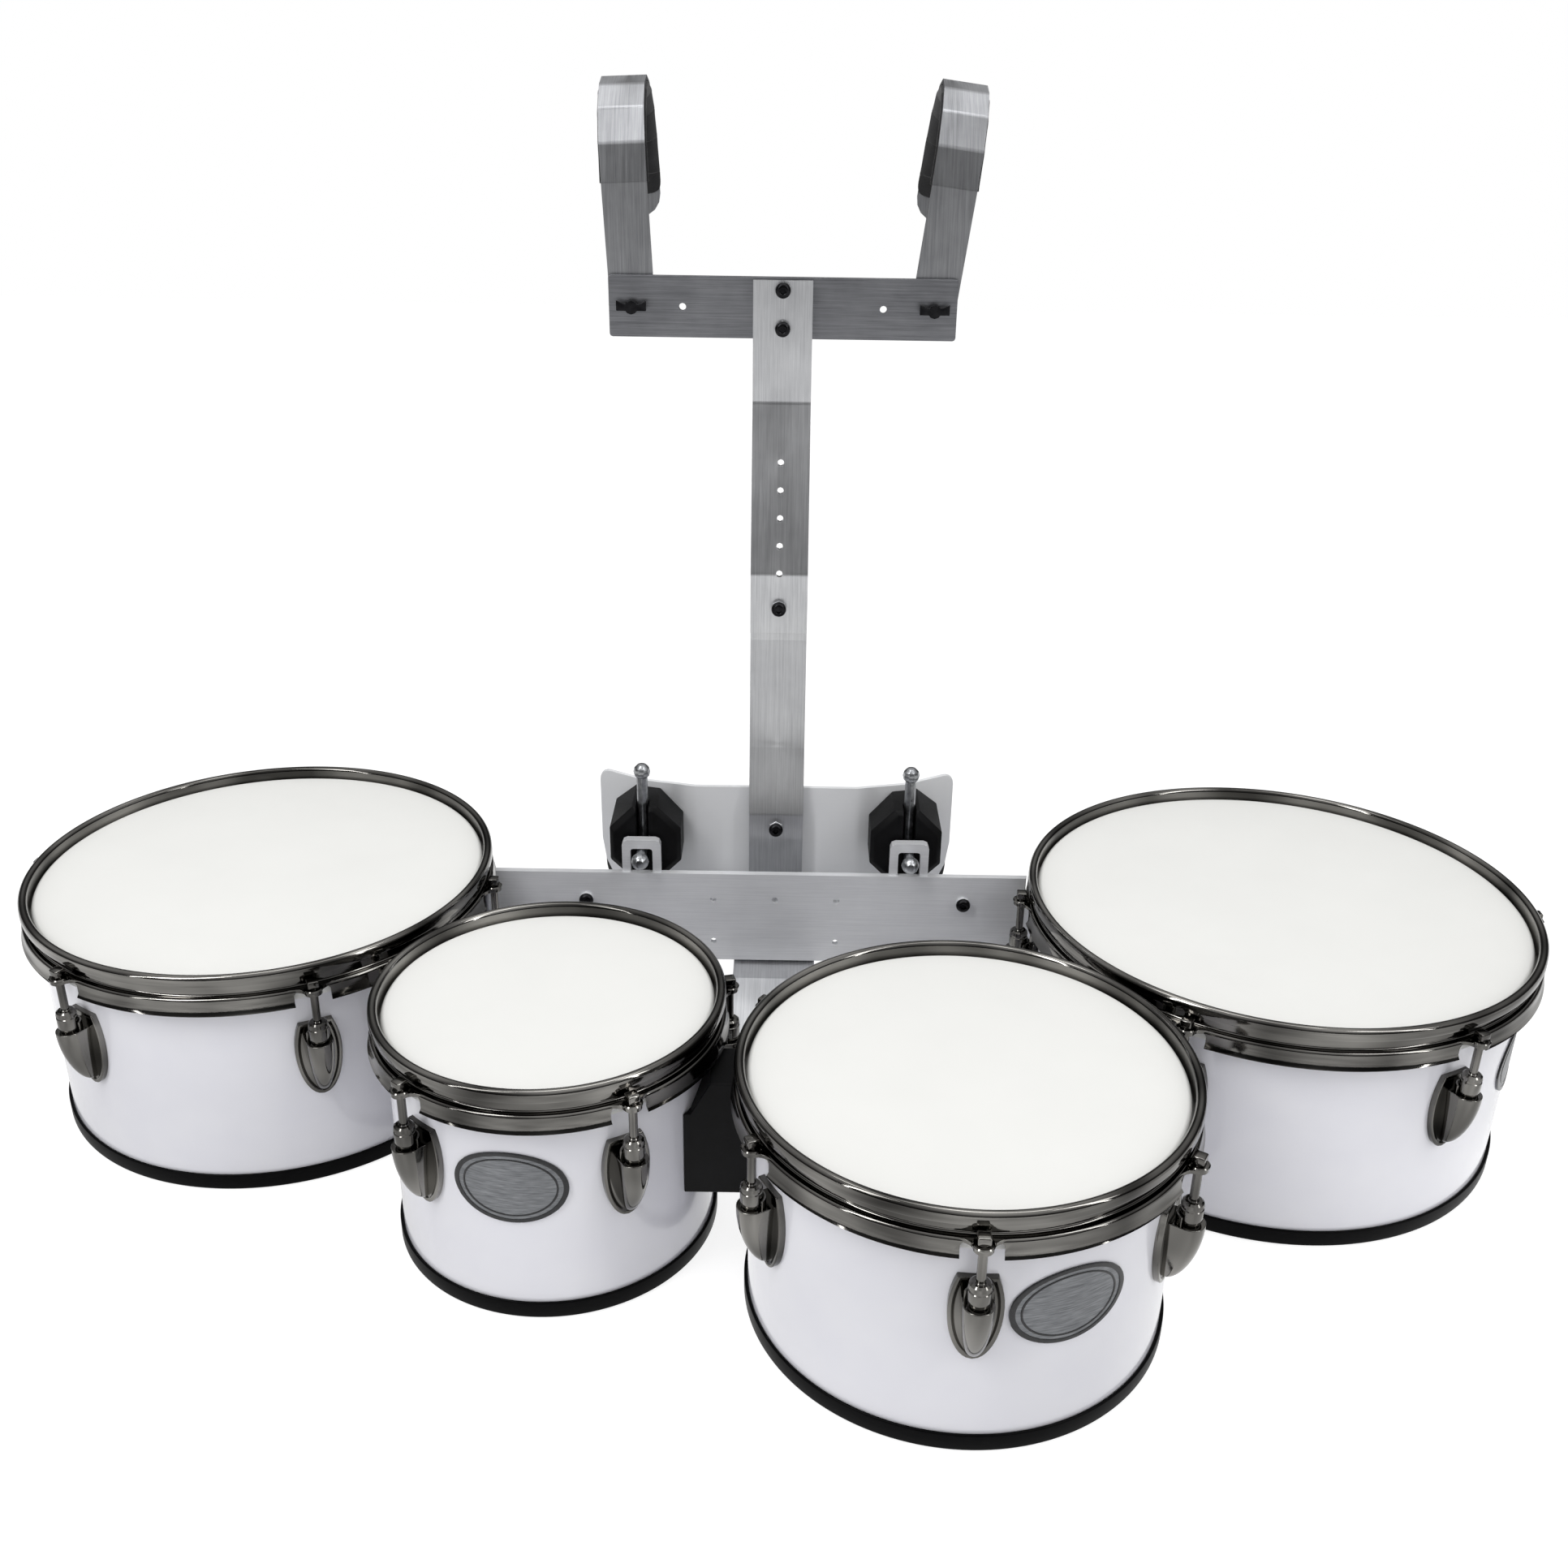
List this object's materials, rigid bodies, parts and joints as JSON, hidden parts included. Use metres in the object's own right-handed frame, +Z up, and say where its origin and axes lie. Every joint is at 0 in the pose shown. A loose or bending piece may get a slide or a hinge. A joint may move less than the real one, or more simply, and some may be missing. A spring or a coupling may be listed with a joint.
{
  "type": "marching tenor drums",
  "caption": "White marching tenor drums of graded sizes on one frame, with a shoulder carrier, belly plate and padded hooks.",
  "frame": {"origin": "middle of the footprint on the floor, under the group of drums", "axes": "+X to the right as the audience sees the drums, +Y towards the wearer, +Z up"},
  "size_m": [1.076, 0.5896, 0.6811],
  "materials": {
    "white_gloss": "gloss white shell covering",
    "film": "translucent white film, coated",
    "black_nickel": "black nickel plate",
    "black_edge": "matte black",
    "aluminium": "brushed along the bar",
    "badge_metal": "brushed oval with a dark rim",
    "black_moulding": "moulded, satin",
    "steel": "plated",
    "foam": "soft foam with a matte black cover"
  },
  "bodies": {
    "drums": {"drum_8_shell": "white_gloss", "drum_8_head": "film", "drum_8_hoop": "black_nickel", "drum_8_edge_ring": "black_edge", "drum_8_lug_1": "black_nickel", "drum_8_lug_2": "black_nickel", "drum_8_lug_3": "black_nickel", "drum_8_lug_4": "black_nickel", "drum_8_lug_5": "black_nickel", "drum_8_badge": "badge_metal", "drum_10_shell": "white_gloss", "drum_10_head": "film", "drum_10_hoop": "black_nickel", "drum_10_edge_ring": "black_edge", "drum_10_lug_1": "black_nickel", "drum_10_lug_2": "black_nickel", "drum_10_lug_3": "black_nickel", "drum_10_lug_4": "black_nickel", "drum_10_lug_5": "black_nickel", "drum_10_lug_6": "black_nickel", "drum_10_badge": "badge_metal", "drum_12_shell": "white_gloss", "drum_12_head": "film", "drum_12_hoop": "black_nickel", "drum_12_edge_ring": "black_edge", "drum_12_lug_1": "black_nickel", "drum_12_lug_2": "black_nickel", "drum_12_lug_3": "black_nickel", "drum_12_lug_4": "black_nickel", "drum_12_lug_5": "black_nickel", "drum_12_lug_6": "black_nickel", "drum_13_shell": "white_gloss", "drum_13_head": "film", "drum_13_hoop": "black_nickel", "drum_13_edge_ring": "black_edge", "drum_13_lug_1": "black_nickel", "drum_13_lug_2": "black_nickel", "drum_13_lug_3": "black_nickel", "drum_13_lug_4": "black_nickel", "drum_13_lug_5": "black_nickel", "drum_13_lug_6": "black_nickel", "drum_13_badge": "badge_metal", "rear_bar": "aluminium", "centre_arm": "aluminium", "small_drum_block": "black_moulding", "hook_rod_left": "steel", "hook_rod_right": "steel"},
    "carrier": {"belly_plate": "aluminium", "belly_pad": "foam", "hook_clamp_left": "black_moulding", "hook_clamp_right": "black_moulding", "lower_upright": "aluminium"},
    "upper_carrier": {"upper_upright": "aluminium", "crossbar": "aluminium"},
    "shoulder_left": {"shoulder_hook_left": "aluminium", "shoulder_pad_left": "foam"},
    "shoulder_right": {"shoulder_hook_right": "aluminium", "shoulder_pad_right": "foam"},
    "screw_left": {"wing_screw_left": "steel"},
    "screw_right": {"wing_screw_right": "steel"}
  },
  "joints": [
    {"name": "carrier_height", "type": "slide", "parent": "drums", "child": "carrier", "axis": [0, 0, 1], "range_m": [-0.02, 0.016]},
    {"name": "upright_swing", "type": "hinge", "parent": "carrier", "child": "upper_carrier", "pos_m": [0.00011, 0.15319, 0.3416], "axis": [0, 1, 0], "range_deg": [-10, 10]},
    {"name": "shoulder_swing_left", "type": "hinge", "parent": "upper_carrier", "child": "shoulder_left", "pos_m": [-0.10139, 0.19329, 0.5395], "axis": [0, 1, 0], "range_deg": [-10, 10]},
    {"name": "shoulder_swing_right", "type": "hinge", "parent": "upper_carrier", "child": "shoulder_right", "pos_m": [0.10161, 0.19329, 0.5395], "axis": [0, 1, 0], "range_deg": [-10, 10]},
    {"name": "screw_turn_left", "type": "hinge", "parent": "upper_carrier", "child": "screw_left", "pos_m": [-0.10139, 0.18749, 0.5395], "axis": [0, 1, 0], "continuous": true},
    {"name": "screw_turn_right", "type": "hinge", "parent": "upper_carrier", "child": "screw_right", "pos_m": [0.10161, 0.18749, 0.5395], "axis": [0, 1, 0], "continuous": true}
  ]
}
